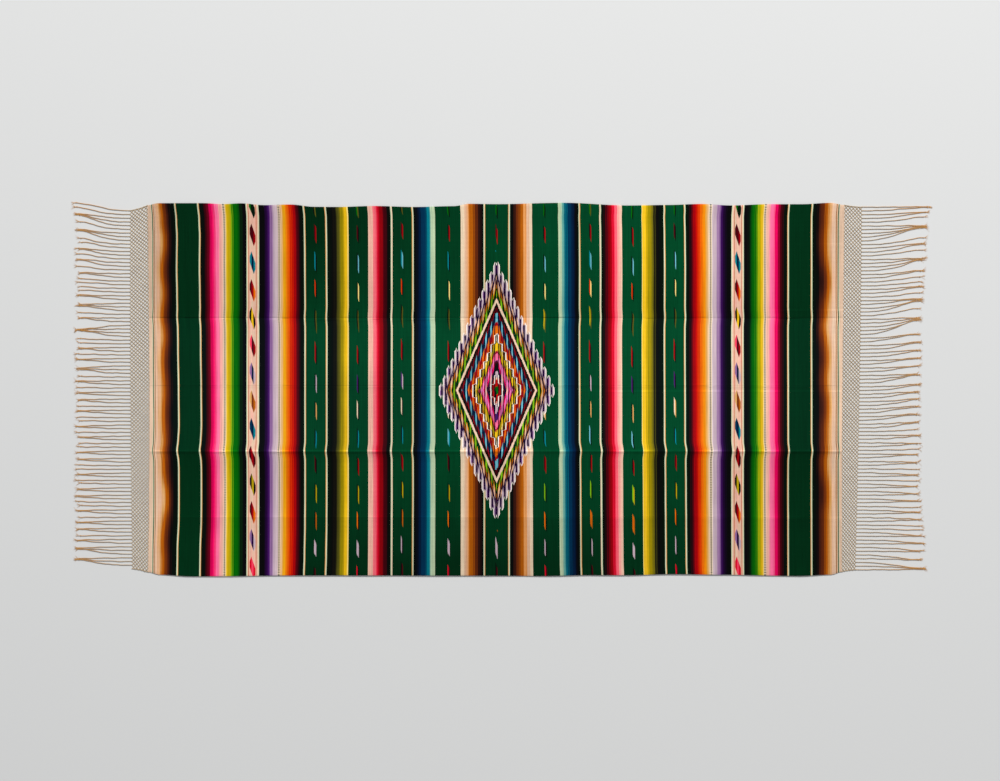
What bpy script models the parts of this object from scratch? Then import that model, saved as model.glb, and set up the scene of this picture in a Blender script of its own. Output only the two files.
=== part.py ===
"""A woven wool serape laid flat, with a knotted net and a fringe at each end.

Metres, +Z up. +X runs along the warp, from the left fringe to the right one, and +Y
towards the upper selvedge. The origin is under the middle of the whole reach, on the
surface that the cloth lies on.
"""

from collections import namedtuple
from math import ceil, pi, sin

import bmesh
import bpy

# Woven cloth, its length taken along the upper selvedge
CLOTH_LENGTH = 2.091
CLOTH_WIDTH = 1.116
CLOTH_WALL = 0.0018

# Knotted nets and fringes, from the cloth's end outwards
NET_WALL = 0.0020
FRINGE_WALL = 0.0025
SEAM_GAP = 0.0003

# Spacing of the lines that a sheet is built on
WIDEST_ALONG = 0.060
WIDEST_ACROSS = 0.075
CELLS_OUT_OF_A_NET = 3
CELLS_OUT_OF_A_FRINGE = 5

# The folds die out over this stretch, so that both ends lie flat
END_REST = 0.140

# Where the build lines fall on a fold's flanks and on the end rests, as shares of each
FLANK_LINES = (0.0, 0.25, 0.5, 1.0)
REST_LINES = (0.25, 0.5, 0.75, 1.0)

# How far each selvedge draws in (or stands out, below 0) at a place along the cloth
Dip = namedtuple("Dip", "at inward")
UPPER_SELVEDGE = (
    Dip(0.000, 0.0055),
    Dip(0.030, -0.0010),
    Dip(0.170, -0.0010),
    Dip(0.225, 0.0020),
    Dip(0.280, -0.0005),
    Dip(0.350, 0.0050),
    Dip(0.430, 0.0030),
    Dip(0.500, 0.0100),
    Dip(0.570, 0.0105),
    Dip(0.680, 0.0075),
    Dip(0.800, 0.0105),
    Dip(0.920, 0.0080),
    Dip(0.965, 0.0010),
    Dip(1.050, 0.0020),
    Dip(1.250, -0.0020),
    Dip(1.440, 0.0060),
    Dip(1.560, 0.0045),
    Dip(1.660, 0.0015),
    Dip(1.750, 0.0060),
    Dip(1.860, 0.0022),
    Dip(1.960, 0.0022),
    Dip(2.050, -0.0020),
    Dip(CLOTH_LENGTH, 0.0045),
)
LOWER_SELVEDGE = (
    Dip(0.000, 0.0110),
    Dip(0.035, 0.0030),
    Dip(0.130, -0.0020),
    Dip(0.500, 0.0010),
    Dip(1.050, 0.0000),
    Dip(1.190, -0.0010),
    Dip(1.320, 0.0015),
    Dip(1.450, 0.0015),
    Dip(1.580, 0.0048),
    Dip(1.720, 0.0030),
    Dip(1.960, -0.0008),
    Dip(2.060, 0.0030),
    Dip(CLOTH_LENGTH, 0.0120),
)

# Lines across the serape, as their distance from the middle of its whole reach where
# each meets the lower selvedge, the middle and the upper selvedge
CrossLine = namedtuple("CrossLine", "lower middle upper")
LEFT_NET_EDGE = CrossLine(-1.108, -1.114, -1.114)
LEFT_CLOTH_END = CrossLine(-1.060, -1.056, -1.062)
RIGHT_CLOTH_END = CrossLine(1.0205, 1.0225, 1.029)
RIGHT_NET_EDGE = CrossLine(1.062, 1.075, 1.082)

# The fringe's reach beyond its net, at a place across the serape
Tip = namedtuple("Tip", "at reach")
LEFT_TIPS = (
    Tip(-0.560, 0.173),
    Tip(-0.532, 0.173),
    Tip(-0.505, 0.157),
    Tip(-0.470, 0.160),
    Tip(-0.300, 0.156),
    Tip(0.000, 0.154),
    Tip(0.300, 0.153),
    Tip(0.510, 0.154),
    Tip(0.545, 0.167),
    Tip(0.560, 0.167),
)
RIGHT_TIPS = (
    Tip(-0.560, 0.200),
    Tip(-0.530, 0.204),
    Tip(-0.495, 0.186),
    Tip(-0.465, 0.202),
    Tip(-0.390, 0.184),
    Tip(-0.240, 0.176),
    Tip(0.120, 0.172),
    Tip(0.360, 0.181),
    Tip(0.500, 0.188),
    Tip(0.535, 0.199),
    Tip(0.560, 0.199),
)

# Heights of a net's and a fringe's own edges above or below the middle line:
# where they begin at the cloth, halfway, and where they end
SideEdge = namedtuple("SideEdge", "start halfway end")
LEFT_NET_SIDES = (SideEdge(-0.547, -0.541, -0.537), SideEdge(0.5525, 0.543, 0.537))
RIGHT_NET_SIDES = (SideEdge(-0.546, -0.542, -0.540), SideEdge(0.5535, 0.5495, 0.548))
LEFT_FRINGE_SIDES = (SideEdge(-0.537, -0.537, -0.534), SideEdge(0.537, 0.546, 0.560))
RIGHT_FRINGE_SIDES = (SideEdge(-0.540, -0.541, -0.532), SideEdge(0.548, 0.546, 0.549))

# Lengthwise folds left by storing the cloth folded. A sharp crest is a ridge with
# hollow flanks; a round one is a swell that ends in a sharp valley at its feet.
Fold = namedtuple("Fold", "across left_height right_height lower_flank upper_flank crest")
FOLDS = (
    Fold(0.318, 0.0030, 0.0036, 0.102, 0.240, "round"),
    Fold(0.010, 0.0016, 0.0022, 0.030, 0.022, "sharp"),
    Fold(-0.186, 0.0052, 0.0060, 0.120, 0.390, "sharp"),
    Fold(-0.381, 0.0020, 0.0024, 0.060, 0.045, "sharp"),
)

Finish = namedtuple("Finish", "colour roughness")
WOVEN_WOOL = Finish((0.012, 0.072, 0.040, 1.0), 0.85)
ECRU_CORD = Finish((0.56, 0.46, 0.34, 1.0), 0.80)


def smooth(share):
    """0 to 1 with no slope at either end."""
    share = min(max(share, 0.0), 1.0)
    return share * share * (3.0 - 2.0 * share)


def read_table(rows, place):
    """The second column's value at a place in the first, eased from row to row."""
    for before, after in zip(rows, rows[1:]):
        if place <= after[0]:
            share = (place - before[0]) / (after[0] - before[0])
            return before[1] + (after[1] - before[1]) * smooth(share)
    return rows[-1][1]


def through_three(line, share):
    """A parabola through a line's values at its start, halfway and end."""
    first, middle, last = line
    return (
        first * (2.0 * share - 1.0) * (share - 1.0)
        + middle * 4.0 * share * (1.0 - share)
        + last * share * (2.0 * share - 1.0)
    )


def fold_height(fold, along, across):
    """How far one fold lifts the cloth off the surface."""
    away = across - fold.across
    flank = fold.upper_flank if away > 0.0 else fold.lower_flank
    near = max(0.0, 1.0 - abs(away) / flank)
    profile = near * near if fold.crest == "sharp" else sin(near * pi / 2.0)
    height = fold.left_height + (fold.right_height - fold.left_height) * along
    from_end = min(along, 1.0 - along) * CLOTH_LENGTH
    return height * profile * smooth(from_end / END_REST)


def lift(along, across):
    """The height of the cloth's underside, which is 0 where it lies on the surface."""
    return max(fold_height(fold, along, across) for fold in FOLDS)


def filled(stops, widest):
    """The stops, with even ones added wherever two are further apart than widest."""
    stops = sorted(set(stops))
    lines = stops[:1]
    for start, end in zip(stops, stops[1:]):
        steps = ceil((end - start) / widest)
        lines += [start + (end - start) * step / steps for step in range(1, steps + 1)]
    return lines


def shares(count):
    return [step / count for step in range(count + 1)]


def sheet(name, lines_along, lines_across, place, wall, finish):
    """A closed wall on an open grid whose points are set by place(along, across)."""
    mesh = bpy.data.meshes.new(name)
    grid = bmesh.new()
    cells_along, cells_across = len(lines_along) - 1, len(lines_across) - 1
    bmesh.ops.create_grid(grid, x_segments=cells_along, y_segments=cells_across, size=1.0)
    for point in grid.verts:
        column = round((point.co.x + 1.0) / 2.0 * cells_along)
        row = round((point.co.y + 1.0) / 2.0 * cells_across)
        point.co = place(lines_along[column], lines_across[row])
    grid.to_mesh(mesh)
    grid.free()
    piece = bpy.data.objects.new(name, mesh)
    collection.objects.link(piece)
    solidify = piece.modifiers.new("wall", "SOLIDIFY")
    solidify.thickness = wall
    solidify.offset = 1.0
    mesh.materials.append(finish)
    return piece


def woven_cloth(finish):
    """The woven cloth: drawn-in selvedges, bowed ends and the lengthwise folds."""
    half = CLOTH_WIDTH / 2.0

    def place(along, across):
        left = through_three(LEFT_CLOTH_END, across)
        right = through_three(RIGHT_CLOTH_END, across)
        lower = -half + read_table(LOWER_SELVEDGE, along * CLOTH_LENGTH)
        upper = half - read_table(UPPER_SELVEDGE, along * CLOTH_LENGTH)
        x = left + (right - left) * along
        y = lower + (upper - lower) * across
        return x, y, lift(along, (across - 0.5) * CLOTH_WIDTH)

    rests = [END_REST * share for share in REST_LINES]
    lines_along = [dip.at for dip in UPPER_SELVEDGE] + rests
    lines_along += [CLOTH_LENGTH - rest for rest in rests]
    lines_across = [0.0, CLOTH_WIDTH]
    for fold in FOLDS:
        for share in FLANK_LINES:
            lines_across.append(half + fold.across + fold.upper_flank * share)
            lines_across.append(half + fold.across - fold.lower_flank * share)
    lines_across = [line for line in lines_across if 0.0 <= line <= CLOTH_WIDTH]
    return sheet(
        "serape_cloth",
        [line / CLOTH_LENGTH for line in filled(lines_along, WIDEST_ALONG)],
        [line / CLOTH_WIDTH for line in filled(lines_across, WIDEST_ACROSS)],
        place,
        CLOTH_WALL,
        finish,
    )


def knotted_net(name, cloth_end, net_edge, sides, outward, finish):
    """The net between the cloth's end and the fringe, as a flat wall."""

    def place(out, across):
        start = through_three(cloth_end, across) + outward * SEAM_GAP
        end = through_three(net_edge, across)
        lower, upper = (through_three(side, out) for side in sides)
        return start + (end - start) * out, lower + (upper - lower) * across, 0.0

    across_lines = filled([0.0, 1.0], WIDEST_ACROSS / CLOTH_WIDTH)
    out_lines = shares(CELLS_OUT_OF_A_NET)
    return facing_up(sheet(name, out_lines, across_lines, place, NET_WALL, finish), outward)


def fringe(name, net_edge, tips, sides, outward, finish):
    """The plain wall that the fringe's cords fill, out to their tips."""

    def place(out, across):
        lower, upper = (through_three(side, out) for side in sides)
        y = lower + (upper - lower) * across
        reach = read_table(tips, (across - 0.5) * CLOTH_WIDTH)
        start = through_three(net_edge, across) + outward * SEAM_GAP
        return start + outward * (reach - SEAM_GAP) * out, y, 0.0

    edge = CLOTH_WIDTH / 2.0
    places = [(tip.at + edge) / CLOTH_WIDTH for tip in tips if abs(tip.at) < edge]
    across_lines = filled([0.0, *places, 1.0], WIDEST_ACROSS / CLOTH_WIDTH)
    out_lines = shares(CELLS_OUT_OF_A_FRINGE)
    return facing_up(sheet(name, out_lines, across_lines, place, FRINGE_WALL, finish), outward)


def facing_up(piece, outward):
    """A sheet laid out towards -X starts face down, so its faces are turned over."""
    if outward < 0:
        turned = bmesh.new()
        turned.from_mesh(piece.data)
        bmesh.ops.reverse_faces(turned, faces=turned.faces)
        turned.to_mesh(piece.data)
        turned.free()
    return piece


def material(name, finish):
    made = bpy.data.materials.new(name)
    made.use_nodes = True
    made.diffuse_color = finish.colour
    shader = made.node_tree.nodes["Principled BSDF"]
    shader.inputs["Base Color"].default_value = finish.colour
    shader.inputs["Roughness"].default_value = finish.roughness
    shader.inputs["Metallic"].default_value = 0.0
    return made


for old in list(bpy.data.objects):
    bpy.data.objects.remove(old)
collection = bpy.data.collections.new("mexican_serape")
bpy.context.scene.collection.children.link(collection)

woven_cloth(material("woven_wool", WOVEN_WOOL))
for side_name, outward, cloth_end, net_edge, net_sides, tips, fringe_sides in (
    ("left", -1, LEFT_CLOTH_END, LEFT_NET_EDGE, LEFT_NET_SIDES, LEFT_TIPS, LEFT_FRINGE_SIDES),
    ("right", 1, RIGHT_CLOTH_END, RIGHT_NET_EDGE, RIGHT_NET_SIDES, RIGHT_TIPS, RIGHT_FRINGE_SIDES),
):
    net_finish = material(f"net_cord_{side_name}", ECRU_CORD)
    fringe_finish = material(f"fringe_cord_{side_name}", ECRU_CORD)
    knotted_net(f"net_{side_name}", cloth_end, net_edge, net_sides, outward, net_finish)
    fringe(f"fringe_{side_name}", net_edge, tips, fringe_sides, outward, fringe_finish)
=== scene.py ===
"""The looks of a handwoven wool serape, laid out flat with its nets and fringes spread.

Metres, +Z up, in the frame of the solids: +X runs along the warp, from the left fringe
to the right one, and +Y towards the upper selvedge. The cloth is weft-faced, so its
stripes are bands of weft that run from selvedge to selvedge.
"""

import random
from collections import namedtuple
from math import ceil, exp, pi, sin

import bmesh
import bpy
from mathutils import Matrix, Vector, noise


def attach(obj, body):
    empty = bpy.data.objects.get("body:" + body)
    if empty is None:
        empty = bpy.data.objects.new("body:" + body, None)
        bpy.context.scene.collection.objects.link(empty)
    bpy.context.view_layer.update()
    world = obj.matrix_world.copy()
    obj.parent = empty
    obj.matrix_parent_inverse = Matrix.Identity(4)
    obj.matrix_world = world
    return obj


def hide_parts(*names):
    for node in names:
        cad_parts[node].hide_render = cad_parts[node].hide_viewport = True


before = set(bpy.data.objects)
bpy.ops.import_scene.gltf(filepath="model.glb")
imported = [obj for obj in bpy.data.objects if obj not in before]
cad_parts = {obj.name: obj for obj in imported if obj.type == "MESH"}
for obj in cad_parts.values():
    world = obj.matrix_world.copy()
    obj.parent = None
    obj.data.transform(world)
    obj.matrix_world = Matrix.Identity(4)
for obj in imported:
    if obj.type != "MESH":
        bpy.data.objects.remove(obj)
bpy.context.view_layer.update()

MM = 0.001

# ---------------------------------------------------------------- sizes of the solids

# Woven cloth, its length taken along the upper selvedge
CLOTH_LENGTH = 2.091
CLOTH_WIDTH = 1.116
CLOTH_WALL = 0.0018
# The folds and ripples die out over this stretch at each end
END_REST = 0.140

# How far each selvedge draws in (or stands out, below 0) at a place along the cloth
Dip = namedtuple("Dip", "at inward")
UPPER_SELVEDGE = (
    Dip(0.000, 0.0055),
    Dip(0.030, -0.0010),
    Dip(0.170, -0.0010),
    Dip(0.225, 0.0020),
    Dip(0.280, -0.0005),
    Dip(0.350, 0.0050),
    Dip(0.430, 0.0030),
    Dip(0.500, 0.0100),
    Dip(0.570, 0.0105),
    Dip(0.680, 0.0075),
    Dip(0.800, 0.0105),
    Dip(0.920, 0.0080),
    Dip(0.965, 0.0010),
    Dip(1.050, 0.0020),
    Dip(1.250, -0.0020),
    Dip(1.440, 0.0060),
    Dip(1.560, 0.0045),
    Dip(1.660, 0.0015),
    Dip(1.750, 0.0060),
    Dip(1.860, 0.0022),
    Dip(1.960, 0.0022),
    Dip(2.050, -0.0020),
    Dip(CLOTH_LENGTH, 0.0045),
)
LOWER_SELVEDGE = (
    Dip(0.000, 0.0110),
    Dip(0.035, 0.0030),
    Dip(0.130, -0.0020),
    Dip(0.500, 0.0010),
    Dip(1.050, 0.0000),
    Dip(1.190, -0.0010),
    Dip(1.320, 0.0015),
    Dip(1.450, 0.0015),
    Dip(1.580, 0.0048),
    Dip(1.720, 0.0030),
    Dip(1.960, -0.0008),
    Dip(2.060, 0.0030),
    Dip(CLOTH_LENGTH, 0.0120),
)

# Lines across the serape, as their distance from the middle of its whole reach where
# each meets the lower selvedge, the middle and the upper selvedge
CrossLine = namedtuple("CrossLine", "lower middle upper")
LEFT_NET_EDGE = CrossLine(-1.108, -1.114, -1.114)
LEFT_CLOTH_END = CrossLine(-1.060, -1.056, -1.062)
RIGHT_CLOTH_END = CrossLine(1.0205, 1.0225, 1.029)
RIGHT_NET_EDGE = CrossLine(1.062, 1.075, 1.082)

# Lengthwise folds left by storing the cloth folded. A sharp crest is a ridge with
# hollow flanks; a round one is a swell that ends in a sharp valley at its feet.
Fold = namedtuple("Fold", "across left_height right_height lower_flank upper_flank crest")
FOLDS = (
    Fold(0.318, 0.0030, 0.0036, 0.102, 0.240, "round"),
    Fold(0.010, 0.0016, 0.0022, 0.030, 0.022, "sharp"),
    Fold(-0.186, 0.0052, 0.0060, 0.120, 0.390, "sharp"),
    Fold(-0.381, 0.0020, 0.0024, 0.060, 0.045, "sharp"),
)

# Lines pressed into the cloth by its folds: a narrow ridge between two distances along the cloth,
# with a painted highlight along it where its tone is above 0 and painted shade where it is below
# 0. Its tone fades in before the start, and runs on past the end.
Crease = namedtuple("Crease", "across start end height half_width fading")
CREASES = (
    Crease(0.2165, -1.060, 1.030, 0.0005, 0.0035, -0.22),
    Crease(0.2120, -1.060, 0.300, 0.0003, 0.0020, 0.30),
    Crease(0.0125, -1.060, 1.030, 0.0005, 0.0025, -0.30),
    Crease(-0.0045, 0.290, 1.030, 0.0004, 0.0022, 0.35),
    Crease(-0.1835, -1.060, 1.030, 0.0007, 0.0034, 0.42),
    Crease(-0.1895, -1.060, 1.030, 0.0002, 0.0062, -0.28),
    Crease(-0.3810, -1.060, -0.200, 0.0003, 0.0030, 0.14),
    Crease(-0.3850, 0.150, 1.030, 0.0003, 0.0030, 0.12),
    Crease(0.2390, 0.860, 1.030, 0.0006, 0.0030, 0.18),
    Crease(0.4380, 0.900, 1.030, 0.0005, 0.0040, 0.12),
)

# How far each fringe's tips reach past its net, at places up the serape
Tip = namedtuple("Tip", "at reach")
LEFT_TIPS = (
    Tip(-0.560, 0.173),
    Tip(-0.532, 0.173),
    Tip(-0.505, 0.157),
    Tip(-0.470, 0.160),
    Tip(-0.300, 0.156),
    Tip(0.000, 0.154),
    Tip(0.300, 0.153),
    Tip(0.510, 0.154),
    Tip(0.545, 0.167),
    Tip(0.560, 0.167),
)
RIGHT_TIPS = (
    Tip(-0.560, 0.200),
    Tip(-0.530, 0.204),
    Tip(-0.495, 0.186),
    Tip(-0.465, 0.202),
    Tip(-0.390, 0.184),
    Tip(-0.240, 0.176),
    Tip(0.120, 0.172),
    Tip(0.360, 0.181),
    Tip(0.500, 0.188),
    Tip(0.535, 0.199),
    Tip(0.560, 0.199),
)

# The lower and upper sides of each net and fringe, at its start, halfway and its end
SideEdge = namedtuple("SideEdge", "start halfway end")
LEFT_NET_SIDES = (SideEdge(-0.547, -0.541, -0.537), SideEdge(0.5525, 0.543, 0.537))
RIGHT_NET_SIDES = (SideEdge(-0.546, -0.542, -0.540), SideEdge(0.5535, 0.5495, 0.548))

# ---------------------------------------------------------------- setting out the pattern

# The pattern is set out from the middle of the medallion
PATTERN_X = -0.0150
PATTERN_Y = -0.0027

# The weaver beat the right half a little tighter than the left: where the same line
# falls in each half, in millimetres from the pattern's middle
SetLine = namedtuple("SetLine", "left right")
SET_LINES = (
    SetLine(0.0, 0.0),
    SetLine(36.4, 37.6),
    SetLine(107.0, 107.2),
    SetLine(183.5, 186.0),
    SetLine(250.7, 249.7),
    SetLine(314.2, 312.3),
    SetLine(384.5, 377.0),
    SetLine(443.4, 436.2),
    SetLine(469.5, 464.5),
    SetLine(510.3, 504.6),
    SetLine(574.8, 565.4),
    SetLine(652.0, 642.1),
    SetLine(713.0, 705.5),
    SetLine(746.5, 738.7),
    SetLine(815.0, 804.5),
    SetLine(887.2, 873.9),
    SetLine(955.3, 944.2),
    SetLine(1008.0, 997.5),
    SetLine(1029.5, 1025.4),
    SetLine(1050.0, 1046.5),
)

# Dyed yarns, as red, green and blue out of 255
YARNS = {
    "ink": (9, 8, 10),
    "green_ink": (3, 22, 8),
    "bottle": (1, 66, 35),
    # Darker green of a second dye lot, also used as painted shade
    "bottle_lot_and_shade": (1, 39, 17),
    "deep_bottle": (1, 45, 21),
    "pale_green": (188, 206, 168),
    "white": (250, 238, 226),
    "cream": (234, 208, 176),
    "raw_cream": (226, 192, 164),
    "peach": (226, 176, 142),
    "apricot": (236, 156, 76),
    "burnt": (180, 92, 10),
    "russet": (116, 48, 12),
    "umber": (60, 24, 16),
    "tan": (218, 162, 92),
    "burnt_peach": (196, 108, 70),
    "ecru": (178, 154, 120),
    "tow": (198, 176, 144),
    "frayed_gold": (200, 146, 78),
    "sea": (92, 164, 152),
    "teal": (6, 124, 138),
    "blue": (1, 47, 78),
    "navy": (3, 24, 54),
    "sky": (104, 178, 194),
    "wine": (72, 3, 14),
    "blood": (156, 3, 12),
    "crimson": (216, 6, 40),
    "rose": (244, 64, 92),
    "pink": (250, 130, 136),
    "blush": (238, 178, 158),
    "straw": (246, 218, 130),
    "gold": (232, 184, 22),
    "ochre": (150, 132, 6),
    "olive": (84, 82, 22),
    "dark_olive": (22, 20, 12),
    "red": (188, 8, 4),
    "scarlet": (214, 54, 4),
    "orange": (230, 108, 8),
    "marigold": (230, 160, 20),
    "lilac": (194, 170, 180),
    "violet": (146, 104, 154),
    "orchid": (236, 120, 184),
    "purple": (68, 22, 98),
    "dark_purple": (34, 4, 52),
    "leaf": (4, 98, 6),
    "fern": (3, 50, 12),
    "lime": (122, 180, 18),
    "mustard": (182, 156, 10),
    "hot_pink": (238, 4, 94),
    "sugar_pink": (250, 110, 155),
    "magenta": (158, 2, 48),
}

# Shaded bands of weft, outwards from the middle: each yarn gives way to the next
Shade = namedtuple("Shade", "at yarn")
BANDS = (
    (
        Shade(36, "green_ink"),
        Shade(46, "ink"),
        Shade(55, "umber"),
        Shade(65, "russet"),
        Shade(72, "burnt"),
        Shade(80, "burnt"),
        Shade(85, "apricot"),
        Shade(93, "peach"),
        Shade(100, "cream"),
        Shade(107, "cream"),
    ),
    (
        Shade(183.5, "pale_green"),
        Shade(194, "pale_green"),
        Shade(199, "sea"),
        Shade(204, "teal"),
        Shade(211, "blue"),
        Shade(221, "blue"),
        Shade(228, "navy"),
        Shade(239, "ink"),
        Shade(250, "green_ink"),
    ),
    (
        Shade(314, "green_ink"),
        Shade(326, "ink"),
        Shade(335, "wine"),
        Shade(347, "blood"),
        Shade(356, "crimson"),
        Shade(362, "rose"),
        Shade(368, "pink"),
        Shade(375, "blush"),
        Shade(381, "blush"),
        Shade(384.5, "cream"),
    ),
    (
        Shade(443.4, "straw"),
        Shade(448, "gold"),
        Shade(454, "gold"),
        Shade(461, "ochre"),
        Shade(468, "ochre"),
        Shade(474, "olive"),
        Shade(482, "dark_olive"),
        Shade(490, "ink"),
        Shade(510, "green_ink"),
    ),
    (
        Shade(577, "green_ink"),
        Shade(587, "ink"),
        Shade(597, "wine"),
        Shade(605, "blood"),
        Shade(612, "red"),
        Shade(619, "scarlet"),
        Shade(627, "orange"),
        Shade(636, "marigold"),
        Shade(643, "tan"),
        Shade(648, "cream"),
        Shade(650, "white"),
    ),
    (
        Shade(650, "white"),
        Shade(659, "lilac"),
        Shade(669, "lilac"),
        Shade(675, "violet"),
        Shade(679, "purple"),
        Shade(688, "dark_purple"),
        Shade(697, "ink"),
        Shade(712, "ink"),
    ),
    (
        Shade(747, "ink"),
        Shade(762, "ink"),
        Shade(771, "fern"),
        Shade(779, "leaf"),
        Shade(787, "leaf"),
        Shade(792.5, "lime"),
        Shade(798, "mustard"),
        Shade(807, "gold"),
        Shade(815, "straw"),
    ),
    (
        Shade(815, "blush"),
        Shade(826, "blush"),
        Shade(834, "sugar_pink"),
        Shade(840, "sugar_pink"),
        Shade(846, "hot_pink"),
        Shade(850, "hot_pink"),
        Shade(856, "magenta"),
        Shade(864, "wine"),
        Shade(874, "ink"),
        Shade(886, "green_ink"),
    ),
    (
        Shade(886, "deep_bottle"),
        Shade(956, "deep_bottle"),
    ),
    (
        Shade(956, "green_ink"),
        Shade(972, "ink"),
        Shade(981, "umber"),
        Shade(992, "russet"),
        Shade(999, "burnt"),
        Shade(1003, "burnt"),
        Shade(1008, "tan"),
        Shade(1015, "peach"),
        Shade(1024, "raw_cream"),
        Shade(1060, "raw_cream"),
    ),
)

# Narrow lines over the bands' edges, outwards from the middle: inner edge, core, outer edge
Line = namedtuple("Line", "at width inner core outer")
LINES = (
    Line(36.4, 5.2, "tan", "cream", "pale_green"),
    Line(250.7, 5.4, "pale_green", "cream", "tan"),
    Line(314.2, 5.4, "cream", "cream", "pale_green"),
    Line(510.3, 5.4, "pale_green", "cream", "tan"),
    Line(574.8, 5.2, "tan", "cream", "pale_green"),
    Line(713.6, 4.6, "pale_green", "cream", "cream"),
    Line(746.8, 4.8, "cream", "cream", "pale_green"),
    Line(887.2, 5.2, "tan", "cream", "pale_green"),
    Line(955.3, 5.2, "tan", "cream", "pale_green"),
    Line(1024.6, 2.2, "russet", "russet", "tan"),
    Line(1029.6, 3.8, "fern", "fern", "pale_green"),
)

# Two thin lines where light yarn carries dark dots, outwards from the middle
DOTTED_LINES = (651.5, 815.0)
DOTTED_WIDTH = 7.6
DOT_PITCH = 7.5

# How far the stripes wander outwards, in millimetres, on the way up the serape. All do so
# a little; the ones near the left end bow with the net that pulls on them.
Wander = namedtuple("Wander", "across out")
STRIPE_WANDER = (
    Wander(-0.560, 0.8),
    Wander(-0.300, 0.0),
    Wander(-0.212, 0.0),
    Wander(-0.1835, 2.4),
    Wander(-0.155, 0.0),
    Wander(0.000, 0.3),
    Wander(0.185, 0.0),
    Wander(0.2165, 1.4),
    Wander(0.250, 0.0),
    Wander(0.460, 0.2),
    Wander(0.515, 0.6),
    Wander(0.560, 3.4),
)
RIGHT_HALF_WANDER = (
    Wander(-0.560, 4.4),
    Wander(-0.520, 3.2),
    Wander(-0.300, 2.6),
    Wander(-0.190, 1.4),
    Wander(-0.150, -0.4),
    Wander(0.100, -0.9),
    Wander(0.360, -0.2),
    Wander(0.460, -0.9),
    Wander(0.530, -2.6),
    Wander(0.560, -5.4),
)
# Where along the serape the lean of the right half fades in and out
RIGHT_HALF_LEAN = ((0.010, 0.0), (0.080, 1.0), (0.580, 1.0), (0.680, 0.0), (0.780, 0.3))
LEFT_HALF_WANDER = (
    Wander(-0.560, 1.8),
    Wander(-0.500, 0.3),
    Wander(-0.400, -0.9),
    Wander(-0.100, -1.4),
    Wander(0.250, -1.2),
    Wander(0.400, -0.6),
    Wander(0.500, 0.5),
    Wander(0.560, 1.6),
)
LEFT_HALF_BOW = ((-0.700, 0.0), (-0.610, 1.0), (-0.510, 0.9), (-0.430, 0.2), (-0.320, 0.0))
LEFT_END_WANDER = (
    Wander(-0.560, 1.4),
    Wander(-0.484, 0.9),
    Wander(-0.379, -3.0),
    Wander(-0.241, -3.0),
    Wander(-0.172, -0.3),
    Wander(-0.106, -3.6),
    Wander(0.000, -2.7),
    Wander(0.125, -0.3),
    Wander(0.293, 2.4),
    Wander(0.359, 3.6),
    Wander(0.461, 2.6),
    Wander(0.503, 4.4),
    Wander(0.545, 6.0),
    Wander(0.560, 6.6),
)
# Where along the serape the bow fades in from the left end, and out again
LEFT_END_BOW = ((-1.070, 0.25), (-1.000, 0.9), (-0.960, 1.0), (-0.900, 0.8), (-0.790, 0.0))

# Short slanting dashes inlaid in the green, in columns that run up the serape: their
# distances from the middle, and what each dash is made of from top to bottom
DASH_COLUMNS = (0.0, 143.0, 283.0, 415.5, 543.0)
DASH_PITCH = 84.0
DASH_HALF_WIDTH = 3.3
DASH_HALF_LENGTH = 24.0
DASH_SLANT = 3.6
DASH_TAPER = 1.6
DASH_LEAN = 3.0
# How unevenly they were set: a column, in rows, and a dash's place and length
COLUMN_STRAY = 0.26
DASH_STRAY = 5.0
# A dash's left half is dark where its chance is below the first of these, and its right
# half where it is above the second
LEFT_HALF_DARK = 0.40
RIGHT_HALF_DARK = 0.60
# The middle row, and how many rows from it the medallion leaves no room for the first column
DASH_MIDDLE_ROW = 6.5
DASH_FREE_ROWS = 4.85
Dash = namedtuple("Dash", "across left_half right_half")
DASHES = (
    Dash(0.542, "leaf", "olive"),
    Dash(0.476, "wine", "blood"),
    Dash(0.384, "teal", "sky"),
    Dash(0.305, "scarlet", "straw"),
    Dash(0.218, "mustard", "olive"),
    Dash(0.107, "blood", "pink"),
    Dash(0.024, "purple", "lilac"),
    Dash(-0.057, "cream", "tan"),
    Dash(-0.141, "sky", "teal"),
    Dash(-0.219, "wine", "blood"),
    Dash(-0.304, "lime", "mustard"),
    Dash(-0.388, "orange", "burnt"),
    Dash(-0.475, "lilac", "lilac"),
    Dash(-0.546, "crimson", "wine"),
)

# A chain of slanted lozenges on a light band between two thin lines
LOZENGE_BAND = (715.4, 745.2)
LOZENGE_LINES = (720.2, 742.8)
LOZENGE_MIDDLE = 731.0
LOZENGE_PITCH = 83.2
LOZENGE_TOP = 549.5
LOZENGE_LINE_HALF_WIDTH = 1.1
LOZENGE_HALF_WIDTH = 8.8
LOZENGE_HALF_HEIGHT = 34.5
LOZENGE_STEEPNESS = 2.9
LOZENGE_LEAN = 3.7
# Where each of a lozenge's parts starts, from its middle line; the first has no limit
LOZENGE_PART_STARTS = (-99.0, -3.0, 2.9)
Lozenge = namedtuple("Lozenge", "left core right")
LOZENGES = (
    Lozenge("leaf", "green_ink", "green_ink"),
    Lozenge("wine", "wine", "blood"),
    Lozenge("teal", "navy", "teal"),
    Lozenge("wine", "blood", "orange"),
    Lozenge("ink", "gold", "ink"),
    Lozenge("rose", "wine", "blood"),
    Lozenge("violet", "navy", "lilac"),
    Lozenge("tan", "russet", "burnt"),
    Lozenge("blue", "navy", "teal"),
    Lozenge("wine", "blood", "wine"),
    Lozenge("ink", "mustard", "ink"),
    Lozenge("wine", "blood", "orange"),
    Lozenge("violet", "dark_purple", "lilac"),
    Lozenge("crimson", "rose", "crimson"),
)

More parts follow.
